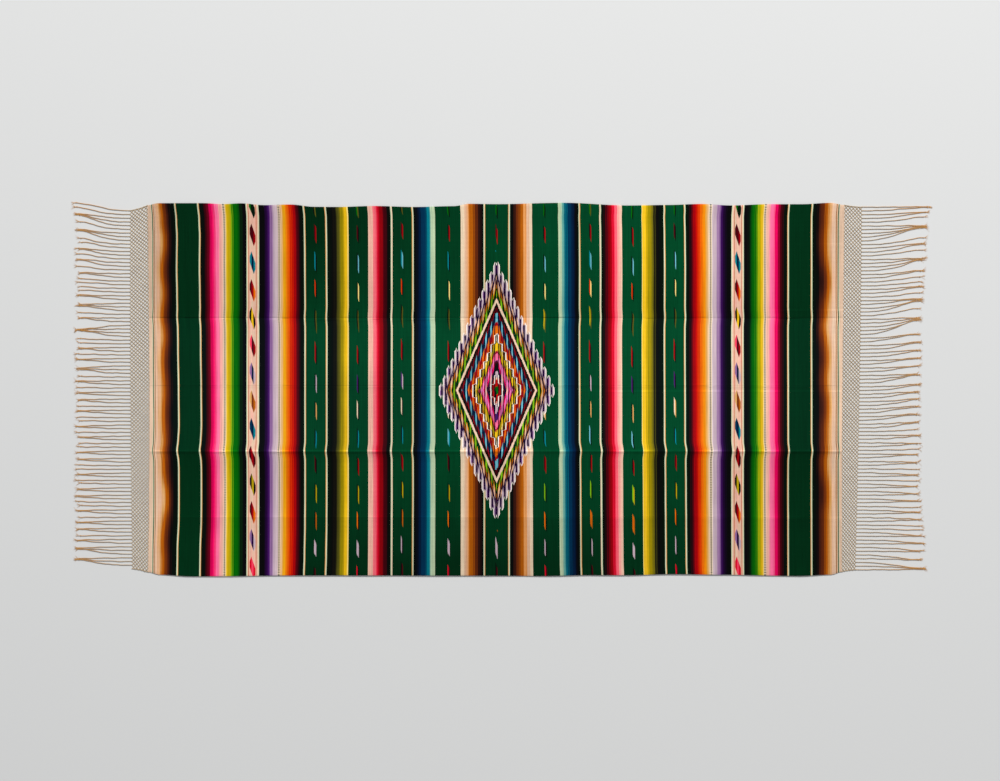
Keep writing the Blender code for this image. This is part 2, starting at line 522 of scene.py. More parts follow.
# The medallion: rings of slivers that climb in half steps, each sliver set between two of
# the next ring. Odd and even half steps have a chart each, from the middle out, measured
# in millimetres up the serape.
Sliver = namedtuple("Sliver", "start yarn")
CORE_FIRST = 3.0
CORE_HALF_STEP = 7.43
CORE_RISE = 2.27
CORE_SLANT = 4.6
CORE_GAP = 2.5
CORE_REACH = 263.0
CORE_MIDDLE = (
    Sliver(0, "leaf"),
    Sliver(14, "red"),
    Sliver(34, "blush"),
    Sliver(41, "lilac"),
    Sliver(66, "purple"),
    Sliver(92, "sugar_pink"),
    Sliver(112, "magenta"),
    Sliver(121, "gold"),
    Sliver(149, "cream"),
    Sliver(172, "orange"),
    Sliver(196, "blood"),
    Sliver(207, "sky"),
    Sliver(234, "wine"),
    Sliver(250, "ink"),
)
CORE_EVEN = (
    Sliver(0, "leaf"),
    Sliver(12, "blood"),
    Sliver(32, "rose"),
    Sliver(41, "cream"),
    Sliver(48, "lilac"),
    Sliver(62, "blush"),
    Sliver(78, "orchid"),
    Sliver(104, "wine"),
    Sliver(113, "gold"),
    Sliver(140, "straw"),
    Sliver(156, "orange"),
    Sliver(172, "blood"),
    Sliver(201, "sky"),
    Sliver(233, "wine"),
    Sliver(250, "ink"),
)
CORE_ODD = (
    Sliver(0, "ink"),
    Sliver(9, "blood"),
    Sliver(36, "red"),
    Sliver(45, "ink"),
    Sliver(54, "dark_purple"),
    Sliver(72, "hot_pink"),
    Sliver(88, "orchid"),
    Sliver(104, "rose"),
    Sliver(116, "dark_olive"),
    Sliver(128, "mustard"),
    Sliver(148, "burnt"),
    Sliver(164, "scarlet"),
    Sliver(178, "orange"),
    Sliver(200, "navy"),
    Sliver(232, "blood"),
    Sliver(243, "ink"),
)
# Dark picks down the outer side of each sliver
CORE_GAPS = (
    Sliver(0, "ink"),
    Sliver(84, "wine"),
    Sliver(106, "ink"),
    Sliver(168, "wine"),
    Sliver(199, "navy"),
    Sliver(234, "ink"),
)
# Hooks of light yarn against dark, on two of the rings
Hook = namedtuple("Hook", "reach yarn width cap")
HOOKS = (
    Hook(168.0, "ink", 6.4, 3.0),
    Hook(168.0, "white", 3.0, 0.0),
    Hook(47.0, "ink", 4.2, 2.0),
    Hook(47.0, "white", 2.4, 0.0),
)
HOOK_FIRST = 1.5
HOOK_STEP = 10.9
HOOK_RISE = 2.27
HOOK_SLANT = 0.3
HOOK_STRAY = 8.0
# A rope of light yarn round the core
ROPE_RISE = 2.29
ROPE_END = 278.0
ROPE_TICK = 5.2
ROPE_TICK_SHARE = 0.3
ROPE_TWIST = 0.4
# The outer rings, and the toothed edge of double prongs
RIM_HALF_STEP = 8.0
RIM_RISE = 2.2
RIM_SLANT = 4.6
RIM_INNER = 344.0
RIM_REACH = 384.0
RIM_GAP = 2.9
RIM_EVEN = (
    Sliver(278, "lime"),
    Sliver(300, "fern"),
    Sliver(307, "burnt"),
    Sliver(318, "umber"),
    Sliver(332, "peach"),
)
RIM_ODD = (
    Sliver(278, "fern"),
    Sliver(294, "marigold"),
    Sliver(305, "peach"),
    Sliver(326, "dark_purple"),
)
RIM_GAPS = (
    Sliver(278, "green_ink"),
    Sliver(298, "ink"),
    Sliver(322, "umber"),
    Sliver(332, "dark_purple"),
)
# The teeth: how far apart, how steeply they climb, and the shape of each one's top
TOOTH_FIRST = 3.8
TOOTH_STEP = 11.6
TOOTH_RISE = 2.23
TOOTH_SLANT = 1.9
TOOTH_HOLLOW = 3.2
TOOTH_NOTCH = 3.0
TOOTH_PRONG = 2.8
TOOTH_STRAY = 7.0
TOOTH_BORDER = 2.6
# How deep into the teeth the violet and the dark purple reach, and how far inside their
# edge the inner rings stop
TOOTH_DEEP = 30.0
TOOTH_CLEAR = 6.0
# How far the medallion's sides, its runs of picks and its slivers stray
SIDE_STRAY = 2.0
INLAY_PICK_STRAY = 3.0
SLIVER_STRAY = 9.0
# How wide such a run of picks is, and how long a sliver keeps one tone
INLAY_PICK = 1.5
TONE_LENGTH = 30.0

# ---------------------------------------------------------------- fine setting of the weave

# In millimetres
WARP_PITCH = 3.75
PICK_PITCH = 0.75
# How much the tone changes from pick to pick, streak to streak and patch to patch, and
# what it changes about
PICK_TONE = 0.16
STREAK_TONE = 0.55
PATCH_TONE = 0.22
MEAN_TONE = 0.97
# How much paler, brighter or duller painted sheen, light and shade make some parts of the cloth
PAINTED_SHEEN_LIFT = 0.10
PAINTED_CORNER_LIGHT = 0.10
LOWER_MIDDLE_SHADE = 0.18
UPPER_ENDS_SHADE = 0.14
ABOVE_FOLD_SHADE = 0.14
RIGHT_MIDDLE_LIGHT = 0.10
# Thin and broad runs of picks, and how far each strays into the next band
THIN_RUN = 1.1
THIN_RUN_STRAY = 4.0
BROAD_RUN = 2.6
BROAD_RUN_STRAY = 7.0
# How far the shades of the end bands waver
END_BAND_WAVER = 34.0


def smooth(share):
    """0 to 1 with no slope at either end."""
    share = min(max(share, 0.0), 1.0)
    return share * share * (3.0 - 2.0 * share)


def bell(distance, reach):
    """1 in the middle, fading to about nothing two reaches away."""
    return exp(-((distance / reach) ** 2))


def read_table(rows, place):
    """The second column's value at a place in the first, eased from row to row."""
    for before, after in zip(rows, rows[1:]):
        if place <= after[0]:
            share = (place - before[0]) / (after[0] - before[0])
            return before[1] + (after[1] - before[1]) * smooth(share)
    return rows[-1][1]


def through_three(line, share):
    """A parabola through a line's values at its start, halfway and end."""
    first, middle, last = line
    return (
        first * (2.0 * share - 1.0) * (share - 1.0)
        + middle * 4.0 * share * (1.0 - share)
        + last * share * (2.0 * share - 1.0)
    )


def fold_height(fold, along, across):
    """How far one fold lifts the cloth off the surface."""
    away = across - fold.across
    flank = fold.upper_flank if away > 0.0 else fold.lower_flank
    near = max(0.0, 1.0 - abs(away) / flank)
    profile = near * near if fold.crest == "sharp" else sin(near * pi / 2.0)
    height = fold.left_height + (fold.right_height - fold.left_height) * along
    from_end = min(along, 1.0 - along) * CLOTH_LENGTH
    return height * profile * smooth(from_end / END_REST)


def filled(stops, widest):
    """The stops, with even ones added wherever two are further apart than widest."""
    stops = sorted(set(stops))
    lines = stops[:1]
    for start, end in zip(stops, stops[1:]):
        steps = ceil((end - start) / widest)
        lines += [start + (end - start) * step / steps for step in range(1, steps + 1)]
    return lines


# ---------------------------------------------------------------- materials


def dyed(yarn):
    """A yarn's colour as a shader takes it."""
    channels = []
    for part in YARNS[yarn]:
        part /= 255.0
        channels.append(part / 12.92 if part <= 0.04045 else ((part + 0.055) / 1.055) ** 2.4)
    return (*channels, 1.0)


def by_node(operation, turned=False):
    """A method that works out a field with a math node, its inputs turned round or not."""

    def work_out(field, *others):
        values = (*others, field) if turned else (field, *others)
        return field.finish.math(operation, *values)

    return work_out


class Field:
    """A value that changes over a surface: a shader node's output, with arithmetic."""

    def __init__(self, finish, socket):
        self.finish = finish
        self.socket = socket

    __add__ = __radd__ = by_node("ADD")
    __sub__ = by_node("SUBTRACT")
    __rsub__ = by_node("SUBTRACT", turned=True)
    __mul__ = __rmul__ = by_node("MULTIPLY")
    __truediv__ = by_node("DIVIDE")
    __gt__ = by_node("GREATER_THAN")
    __lt__ = by_node("LESS_THAN")
    __abs__ = by_node("ABSOLUTE")
    floor = by_node("FLOOR")
    rounded = by_node("ROUND")
    fraction = by_node("FRACT")
    cosine = by_node("COSINE")
    sign = by_node("SIGN")
    at_least = by_node("MAXIMUM")
    at_most = by_node("MINIMUM")

    def share_of(self, start, end):
        """0 at start, 1 at end, straight between them and level beyond."""
        return ((self - start) / (end - start)).at_least(0.0).at_most(1.0)


class Finish:
    """One material, with the nodes that work out its colour, roughness and relief."""

    def __init__(self, name, roughness, sheen=0.0, specular=0.3):
        self.material = bpy.data.materials.new(name)
        self.material.use_nodes = True
        self.tree = self.material.node_tree
        self.shader = self.tree.nodes["Principled BSDF"]
        self.shader.inputs["Roughness"].default_value = roughness
        self.shader.inputs["Sheen Weight"].default_value = sheen
        self.shader.inputs["Sheen Roughness"].default_value = 0.45
        self.shader.inputs["Specular IOR Level"].default_value = specular

    def node(self, kind, **settings):
        made = self.tree.nodes.new(kind)
        for setting, value in settings.items():
            setattr(made, setting, value)
        return made

    def feed(self, socket, value):
        if isinstance(value, Field):
            self.tree.links.new(value.socket, socket)
        else:
            socket.default_value = value

    def math(self, operation, *values):
        made = self.node("ShaderNodeMath", operation=operation)
        for socket, value in zip(made.inputs, values):
            self.feed(socket, value)
        return Field(self, made.outputs["Value"])

    def vector(self, x, y, z):
        made = self.node("ShaderNodeCombineXYZ")
        for socket, value in zip(made.inputs, (x, y, z)):
            self.feed(socket, value)
        return Field(self, made.outputs["Vector"])

    def parts(self, socket):
        split = self.node("ShaderNodeSeparateXYZ")
        self.tree.links.new(socket, split.inputs["Vector"])
        return [Field(self, split.outputs[axis]) for axis in "XYZ"]

    def measured(self, name):
        """The two measures that a map holds."""
        return self.parts(self.node("ShaderNodeUVMap", uv_map=name).outputs["UV"])[:2]

    def in_place(self):
        """The point's own place on the piece."""
        return self.parts(self.node("ShaderNodeTexCoord").outputs["Object"])

    def chance(self, *seeds):
        """An even random value from 0 to 1 for each set of seeds."""
        seeds = self.vector(*(*seeds, 0.5, 0.5)[:3])
        made = self.node("ShaderNodeTexWhiteNoise", noise_dimensions="3D")
        self.feed(made.inputs["Vector"], seeds)
        return Field(self, made.outputs["Value"])

    def cloud(self, x, y, z=0.0, detail=2.0):
        """Soft noise about 0.5."""
        place = self.vector(x, y, z)
        made = self.node("ShaderNodeTexNoise", noise_dimensions="3D")
        self.feed(made.inputs["Vector"], place)
        made.inputs["Scale"].default_value = 1.0
        made.inputs["Detail"].default_value = detail
        return Field(self, made.outputs[0])

    def mix(self, share, under, over, blend="MIX"):
        made = self.node("ShaderNodeMix", data_type="RGBA", blend_type=blend)
        self.feed(made.inputs[0], share)
        self.feed(made.inputs[6], under)
        self.feed(made.inputs[7], over)
        return Field(self, made.outputs[2])

    def shades(self, place, stops, stepped=False):
        """A colour read from stops of (share, colour); two at one share make a hard edge."""
        made = self.node("ShaderNodeValToRGB")
        self.feed(made.inputs["Fac"], place)
        made.color_ramp.interpolation = "CONSTANT" if stepped else "LINEAR"
        elements = made.color_ramp.elements
        elements.remove(elements[1])
        elements[0].position, elements[0].color = stops[0]
        for share, colour in stops[1:]:
            elements.new(share).color = colour
        return Field(self, made.outputs["Color"])

    def raise_by(self, height, distance):
        bump = self.node("ShaderNodeBump")
        bump.inputs["Distance"].default_value = distance
        bump.inputs["Strength"].default_value = 1.0
        self.feed(bump.inputs["Height"], height)
        self.tree.links.new(bump.outputs["Normal"], self.shader.inputs["Normal"])

    def paint(self, colour):
        self.feed(self.shader.inputs["Base Color"], colour)


def shaded_bands(finish, out, hop, ground):
    """The bands of weft that shade from yarn to yarn, over the ground."""
    colour = ground
    for band in BANDS:
        start, end = band[0].at, band[-1].at
        stops = [((shade.at - start) / (end - start), dyed(shade.yarn)) for shade in band]
        shaded = finish.shades((out + hop).share_of(start, end), stops)
        inside = (out > start) * (out < end) if band is not BANDS[-1] else out > start
        colour = finish.mix(inside, colour, shaded)
    return colour


def narrow_lines(finish, out, colour):
    """Lines of a few picks, which take their edges' tints from the yarns beside them."""
    for line in LINES:
        half = line.width / 2.0
        place = out.share_of(line.at - half, line.at + half)
        stops = [
            (0.0, dyed(line.inner)),
            (0.26, dyed(line.inner)),
            (0.36, dyed(line.core)),
            (0.56, dyed(line.core)),
            (0.68, dyed(line.outer)),
        ]
        inside = abs(out - line.at) < half
        colour = finish.mix(inside, colour, finish.shades(place, stops))
    return colour


def dotted_lines(finish, out, across, colour):
    """Light picks that let dark ones through at even steps."""
    for at in DOTTED_LINES:
        away = abs(out - at)
        dot = ((across / DOT_PITCH).fraction() < 0.52) * (away < 2.3)
        colour = finish.mix(away < DOTTED_WIDTH / 2.0, colour, dyed("cream"))
        colour = finish.mix(dot, colour, dyed("green_ink"))
    return colour


def lozenge_chain(finish, along, across, colour):
    """The light band, its two thin lines and the slanted lozenges that run down it."""
    out = abs(along)
    tint = finish.cloud(along / 9.0, across / 60.0, detail=1.0).share_of(0.35, 0.65)
    ground = finish.mix(tint, dyed("raw_cream"), dyed("blush"))
    for line in LOZENGE_LINES:
        ground = finish.mix(abs(out - line) < LOZENGE_LINE_HALF_WIDTH, ground, dyed("burnt_peach"))
    place = (LOZENGE_TOP - across) / LOZENGE_PITCH
    number = place.rounded()
    up = (number - place) * LOZENGE_PITCH
    aside = along - along.sign() * LOZENGE_MIDDLE
    top = up + abs(aside + LOZENGE_LEAN) * LOZENGE_STEEPNESS < LOZENGE_HALF_HEIGHT
    bottom = up - abs(aside - LOZENGE_LEAN) * LOZENGE_STEEPNESS > -LOZENGE_HALF_HEIGHT
    inside = top * bottom * (abs(aside) < LOZENGE_HALF_WIDTH)
    share = (number + 0.5) / len(LOZENGES)
    for part, start in zip(Lozenge._fields, LOZENGE_PART_STARTS):
        stops = [
            (index / len(LOZENGES), dyed(getattr(lozenge, part)))
            for index, lozenge in enumerate(LOZENGES)
        ]
        shown = inside * (aside > start)
        ground = finish.mix(shown, ground, finish.shades(share, stops, stepped=True))
    in_band = (out > LOZENGE_BAND[0]) * (out < LOZENGE_BAND[1])
    return finish.mix(in_band, colour, ground)


def dashes(finish, along, row, colour):
    """Slanting dashes of two yarns, in columns up the green ground."""
    out = abs(along)
    middle = 0.0
    column = 0.0
    for before, after in zip(DASH_COLUMNS, DASH_COLUMNS[1:]):
        beyond = out > (before + after) / 2.0
        middle = beyond * (after - before) + middle
        column = beyond + column
    aside = along - along.sign() * middle
    side = along.sign() * (column + 1.0)
    stray = (finish.chance(side, 5.0) - 0.5) * COLUMN_STRAY
    place = row + stray
    number = place.rounded()
    odd_one = finish.chance(side, number, 2.0)
    up = (number - place) * DASH_PITCH + (odd_one - 0.5) * DASH_STRAY
    half_length = DASH_HALF_LENGTH + (finish.chance(side, number, 9.0) - 0.5) * DASH_STRAY
    share = (number + 0.5) / len(DASHES)
    clear = column + (abs(row - DASH_MIDDLE_ROW) > DASH_FREE_ROWS) > 0.5
    dark_side = finish.chance(side, number, 7.0)
    for half, lean in (("left_half", 1.0), ("right_half", -1.0)):
        centre = -lean * DASH_HALF_WIDTH / 2.0
        away = aside - centre
        inside = abs(away) < DASH_HALF_WIDTH / 2.0
        slanted = abs(up - lean * DASH_LEAN + away * DASH_SLANT)
        tip = slanted + abs(away) * DASH_TAPER < half_length
        stops = [
            (index / len(DASHES), dyed(getattr(dash, half))) for index, dash in enumerate(DASHES)
        ]
        tone = finish.shades(share, stops, stepped=True)
        dark = dark_side < LEFT_HALF_DARK if lean > 0.0 else dark_side > RIGHT_HALF_DARK
        tone = finish.mix(dark, tone, dyed("ink"))
        colour = finish.mix(inside * tip * clear, colour, tone)
    return colour


def half_steps(aside, above, first, half_step, rise, slant):
    """How far out a point lies on rings that climb in half steps, which step it is on, and
    how far across that step."""
    stepped = (aside - first).at_least(0.0)
    step = (stepped / half_step).rounded()
    centre = step * half_step + step.at_most(1.0) * first
    within = stepped - step * half_step
    return above + centre * rise + within * slant, step, within


def slivers(finish, ring, chart, reach):
    """The chart's yarns from its first sliver out to where the rings end."""
    start = chart[0].start
    stops = [((sliver.start - start) / (reach - start), dyed(sliver.yarn)) for sliver in chart]
    return finish.shades((ring - start) / (reach - start), stops, stepped=True)


def edged(finish, measure, aside, reach, colour, yarn, width, cap=0.0):
    """A line of yarn just inside the outer side, and the top, of what measures less than
    reach."""
    beyond = (measure(aside + width) > reach).at_least(measure(aside) > reach - cap)
    return finish.mix(beyond * (measure(aside) < reach), colour, dyed(yarn))


def medallion(finish, along, across, colour):
    """Rings of slivers round a small lozenge, a rope, and outer rings with a toothed edge."""
    quarter = along.sign() + across.sign() * 3.0
    uneven = finish.cloud(along / 5.0, across / 14.0, 6.0, detail=1.0) - 0.5
    aside = (abs(along) + uneven * SIDE_STRAY).at_least(0.0)
    above = abs(across)
    above = above + (finish.chance((along / INLAY_PICK).floor(), 8.0) - 0.5) * INLAY_PICK_STRAY

    def tooth_edge(aside):
        tooth = ((aside - TOOTH_FIRST) / TOOTH_STEP).rounded()
        within = aside - TOOTH_FIRST - tooth * TOOTH_STEP
        stray = (finish.chance(tooth, quarter, 1.0) - 0.5) * TOOTH_STRAY
        outer = (within > 0.0) * (within * TOOTH_SLANT)
        prong = abs(within + TOOTH_PRONG) * TOOTH_HOLLOW + TOOTH_NOTCH
        return above + tooth * (TOOTH_STEP * TOOTH_RISE) + stray + outer + (within < 0.0) * prong

    edge = tooth_edge(aside)
    within = (aside - TOOTH_FIRST) / TOOTH_STEP
    light_half = within - within.rounded() > 0.0
    pale = finish.chance(within.rounded(), quarter, 3.0) > 0.7
    light = finish.mix(pale, dyed("lilac"), dyed("violet"))
    light = finish.mix(edge < RIM_REACH - TOOTH_DEEP, light, dyed("lilac"))
    dark = finish.mix(edge < RIM_REACH - TOOTH_DEEP, dyed("dark_purple"), dyed("ink"))
    rim = finish.mix(light_half, dark, light)
    rim = edged(finish, tooth_edge, aside, RIM_REACH, rim, "white", TOOTH_BORDER)
    colour = finish.mix(edge < RIM_REACH, colour, rim)

    def ring_of_slivers(charts, first, half_step, rise, slant, reach, seed, gap_width):
        even_chart, odd_chart, gap_chart = charts
        ring, step, within = half_steps(aside, above, first, half_step, rise, slant)
        ring = ring + (finish.chance(step, quarter, seed) - 0.5) * SLIVER_STRAY
        odd = (step / 2.0).fraction() > 0.25
        yarn = finish.mix(
            odd, slivers(finish, ring, even_chart, reach), slivers(finish, ring, odd_chart, reach)
        )
        if even_chart is CORE_EVEN:
            middle = slivers(finish, ring, CORE_MIDDLE, reach)
            yarn = finish.mix(step < 0.5, yarn, middle)
        own = finish.chance(step, (ring / TONE_LENGTH).floor(), seed + quarter)
        tone = (own * 7.0).fraction() * 0.5 + 0.68
        yarn = finish.mix(1.0, yarn, finish.vector(tone, tone, tone), blend="MULTIPLY")
        gap = within + own * 1.8 - odd * 0.9 > half_step / 2.0 - gap_width + 0.5
        return ring, finish.mix(gap, yarn, slivers(finish, ring, gap_chart, reach))

    charts = (RIM_EVEN, RIM_ODD, RIM_GAPS)
    ring, rim = ring_of_slivers(
        charts, 0.0, RIM_HALF_STEP, RIM_RISE, RIM_SLANT, RIM_INNER, 4.0, RIM_GAP
    )
    inner_rings = (ring < RIM_INNER) * (edge < RIM_REACH - TOOTH_CLEAR)
    colour = finish.mix(inner_rings, colour, rim)

    rope = above + aside * ROPE_RISE
    tick = ((aside + above * ROPE_TWIST) / ROPE_TICK).fraction() < ROPE_TICK_SHARE
    rope_yarn = finish.mix(tick, dyed("cream"), dyed("blush"))
    colour = finish.mix(rope < ROPE_END, colour, rope_yarn)

    charts = (CORE_EVEN, CORE_ODD, CORE_GAPS)
    ring, core = ring_of_slivers(
        charts, CORE_FIRST, CORE_HALF_STEP, CORE_RISE, CORE_SLANT, CORE_REACH, 6.0, CORE_GAP
    )
    green_side = (aside < CORE_FIRST) * (along < -1.5) * (ring < 14.0)
    core = finish.mix(green_side, core, dyed("green_ink"))

    def hook_ring(aside):
        ring, step, _ = half_steps(aside, above, HOOK_FIRST, HOOK_STEP, HOOK_RISE, HOOK_SLANT)
        return ring + (finish.chance(step, quarter, 13.0) - 0.5) * HOOK_STRAY

    for hook in HOOKS:
        core = edged(
            finish, hook_ring, aside, hook.reach, core, hook.yarn, hook.width, hook.cap
        )
    return finish.mix(rope < CORE_REACH, colour, core)


def wool_tone_and_painted_light(finish, along, across, colour):
    """Uneven picks, painted sheen on the middle third, painted light and shade over parts of the
    cloth, and painted highlights and shade along the folds' lines.
    """
    pick = finish.chance((along / 2.9).floor(), (across / 210.0 + along * 0.37).floor(), 2.0)
    streak = finish.cloud(along / 2.3, across / 85.0, 3.0, detail=2.0)
    patch = finish.cloud(along / 160.0, across / 120.0, 8.0, detail=3.0)
    rib = abs((across / WARP_PITCH).fraction() - 0.5)
    tone = (pick - 0.5) * PICK_TONE + (streak - 0.5) * STREAK_TONE
    tone = tone + (patch - 0.5) * PATCH_TONE + MEAN_TONE
    tone = tone + (rib - 0.25) * (patch * 0.5 + 0.1)

    # Painted sheen: between the two outer folds the cloth is made a little paler, and a faint
    # bluish veil is added there
    painted_sheen_band = across.share_of(-184.0, -180.0) * (1.0 - across.share_of(212.0, 220.0))
    tone = tone * (1.0 + painted_sheen_band * PAINTED_SHEEN_LIFT)

    # Painted light and shade: two opposite corners are a little brighter than the other two
    tone = tone * ((along / 1000.0) * (across / 560.0) * PAINTED_CORNER_LIGHT + 1.0)

    # Painted shade darkens some parts: the lower middle, the upper ends, and above the lower fold
    # on the left. Painted light brightens the stripes right of the middle.
    middle = 1.0 - abs(along).share_of(200.0, 640.0)
    lower_middle = (1.0 - across.share_of(-500.0, -230.0)) * middle
    upper_ends = across.share_of(200.0, 480.0) * abs(along).share_of(850.0, 1030.0)
    painted_light = along.share_of(250.0, 400.0) * (1.0 - along.share_of(560.0, 720.0))
    beside = along.share_of(-640.0, -520.0) * (1.0 - along.share_of(-210.0, -140.0))
    above_fold = across.share_of(-220.0, -190.0) * (1.0 - across.share_of(20.0, 90.0))
    painted_shade = lower_middle * LOWER_MIDDLE_SHADE + upper_ends * UPPER_ENDS_SHADE
    painted_shade = painted_shade + beside * above_fold * ABOVE_FOLD_SHADE
    tone = tone * (1.0 - painted_shade) * (1.0 + painted_light * RIGHT_MIDDLE_LIGHT)

    # Painted highlights and painted shade along the creases, patchy along each
    for crease in CREASES:
        away = abs(across - (crease.across - PATTERN_Y) / MM)
        near = 1.0 - away.share_of(0.0, crease.half_width / MM)
        start = (crease.start - PATTERN_X) / MM
        from_left = along.share_of(start - 60.0, start)
        patchy_tone = finish.cloud(along / 34.0, 0.0, crease.across * 90.0, detail=2.0)
        patchy_tone = patchy_tone.share_of(0.3, 0.6) * 0.7 + 0.3
        tone = tone + near * from_left * patchy_tone * crease.fading
    colour = finish.mix(1.0, colour, finish.vector(tone, tone, tone), blend="MULTIPLY")
    # The painted sheen's faint bluish veil over the middle third
    painted_sheen_veil = finish.vector(painted_sheen_band * 0.0004, painted_sheen_band * 0.0018, painted_sheen_band * 0.0022)
    return finish.mix(1.0, colour, painted_sheen_veil, blend="ADD")


def weft_faced(finish, along, across):
    """The relief of the weave: picks packed over warps, each warp a low rib."""
    warp = across / WARP_PITCH
    rib = (warp.fraction() - 0.5) * pi
    over = (along / (2.0 * PICK_PITCH) + (warp.floor() / 2.0).fraction()).fraction()
    bead = (over - 0.5) * pi
    nap = finish.cloud(along / 0.9, across / 1.6, 1.0, detail=2.0)
    return rib.cosine() * (bead.cosine() * 0.7 + 0.3) + nap * 0.9


def woven_wool():
    finish = Finish("woven_wool", roughness=0.85, sheen=0.02, specular=0.02)
    along, across = [part / MM for part in finish.measured("weave")]
    row = finish.measured("rows")[0]
    out = abs(along)

    # Single picks of the neighbouring yarns run in among each other where bands shade
    fine = finish.chance((along / THIN_RUN).floor(), 3.0) - 0.5
    broad = finish.chance((along / BROAD_RUN).floor(), 7.0) - 0.5
    hop = fine * THIN_RUN_STRAY + broad * BROAD_RUN_STRAY

    # The end bands were beaten unevenly, so that their shades waver
    wave = finish.cloud(across / 130.0, along.sign() * 3.0, detail=0.0)
    waver = (wave - 0.5) * END_BAND_WAVER
    hop = hop + waver * out.share_of(958.0, 985.0) * (1.0 - out.share_of(996.0, 1040.0))

    # The green is darker below the lower fold, at the upper left and towards the left end: partly
    # a second, darker dye lot, and partly painted shade, most of all below the lower fold
    lower = 1.0 - across.share_of(-560.0, -190.0)
    upper_left = across.share_of(170.0, 470.0) * (1.0 - along.share_of(-560.0, 160.0))
    lot = finish.cloud(along / 90.0, across / 110.0, 2.0, detail=2.0) - 0.5
    left = (1.0 - along.share_of(-700.0, 100.0)) * 0.22
    dye_lot_and_shade = lower * 0.85 + upper_left * 0.9 + left + lot * 0.4
    dye_lot_and_shade = dye_lot_and_shade.at_least(0.0).at_most(1.0)
    ground = finish.mix(dye_lot_and_shade, dyed("bottle"), dyed("bottle_lot_and_shade"))
    colour = shaded_bands(finish, out, hop, ground)
    colour = dotted_lines(finish, out, across, colour)
    colour = lozenge_chain(finish, along, across, colour)
    colour = narrow_lines(finish, out, colour)
    colour = dashes(finish, along, row, colour)
    colour = medallion(finish, along, across, colour)
    colour = wool_tone_and_painted_light(finish, along, across, colour)
    finish.paint(colour)
    finish.raise_by(weft_faced(finish, along, across), 0.35 * MM)
    return finish.material


def spun_cord(name, cord, tips, tips_start, tips_end):
    """Undyed spun cord, which yellows and frays towards its tips."""
    finish = Finish(name, roughness=0.85, sheen=0.05, specular=0.08)
    x, y, z = finish.in_place()
    fibre = finish.cloud(x * 900.0, y * 900.0, z * 900.0, detail=2.0)
    length = finish.cloud(x * 24.0, y * 70.0, 4.0, detail=2.0)
    colour = finish.mix(length.share_of(0.3, 0.7), dyed(cord), dyed("tow"))
    corner = abs(y).share_of(0.515, 0.545) * 0.35
    golden = (abs(x).share_of(tips_start, tips_end) + corner) * (length * 0.9 + 0.5)
    colour = finish.mix(golden.at_most(1.0), colour, dyed(tips))
    tone = (fibre - 0.5) * 0.5 + 1.0
    finish.paint(finish.mix(1.0, colour, finish.vector(tone, tone, tone), blend="MULTIPLY"))
    finish.raise_by(fibre, 0.25 * MM)
    return finish.material


# ---------------------------------------------------------------- the woven cloth

CELLS_ALONG = 200
WIDEST_ACROSS = 0.0080


def wander(x, y):
    """How far out a stripe has strayed where it passes a place."""
    stray = read_table(STRIPE_WANDER, y)
    for wanders, bow in (
        (LEFT_END_WANDER, LEFT_END_BOW),
        (LEFT_HALF_WANDER, LEFT_HALF_BOW),
        (RIGHT_HALF_WANDER, RIGHT_HALF_LEAN),
    ):
        if bow[0][0] < x < bow[-1][0]:
            stray += read_table(wanders, y) * read_table(bow, x)
    return stray * MM


def pattern_distance(x, y):
    """The pattern's own measure, left side negative, for a place on the serape."""
    away = x - PATTERN_X
    side = -1.0 if away < 0.0 else 1.0
    away = abs(away) - wander(x, y) * smooth(abs(away) / 0.2)
    if side < 0.0:
        return -away
    away /= MM
    for before, after in zip(SET_LINES, SET_LINES[1:]):
        if away <= after.right or after is SET_LINES[-1]:
            share = (away - before.right) / (after.right - before.right)
            return (before.left + (after.left - before.left) * share) * MM


def dash_row(y):
    """The number of the dash nearest to a place up the serape, and the way to the next."""
    place = y - PATTERN_Y
    pitch = DASH_PITCH * MM
    if place > DASHES[0].across:
        return (DASHES[0].across - place) / pitch
    for number, (above, below) in enumerate(zip(DASHES, DASHES[1:])):
        if place >= below.across:
            return number + (above.across - place) / (above.across - below.across)
    return len(DASHES) - 1 + (DASHES[-1].across - place) / pitch


def crease_height(x, across):
    """Narrow ridges pressed in by the folds."""
    height = 0.0
    for crease in CREASES:
        share = smooth((x - crease.start) / 0.05) * smooth((crease.end - x) / 0.05)
        uneven = 0.6 + 0.8 * noise.noise(Vector((x * 9.0, crease.across * 40.0, 3.0)))
        near = bell(across - crease.across, crease.half_width)
        height += crease.height * share * uneven * near
    return height


def ripple_height(x, across, half):
    """Low waves over the whole cloth, and short ones where the selvedges are slack."""
    wave = 0.5 + 0.5 * noise.noise(Vector((x * 2.3, across * 3.1, 0.4)))
    small = 0.5 + 0.5 * noise.noise(Vector((x * 11.0, across * 5.0, 2.2)))
    upper = bell(half - across, 0.030) * (0.5 + 0.5 * noise.noise(Vector((x * 7.0, 0.0, 8.0))))
    lower = bell(half + across, 0.022) * (0.5 + 0.5 * noise.noise(Vector((x * 8.0, 5.0, 8.0))))
    return (wave * 0.9 + small * 0.45 + upper * 3.2 + lower * 1.8) * MM


def lift(x, along, across):
    """The height of the cloth's underside, which is near 0 where it lies on the surface."""
    folded = max(fold_height(fold, along, across) for fold in FOLDS)
    from_end = smooth(min(along, 1.0 - along) * CLOTH_LENGTH / END_REST)
    ripples = ripple_height(x, across, CLOTH_WIDTH / 2.0)
    return folded + (crease_height(x, across) + ripples) * from_end


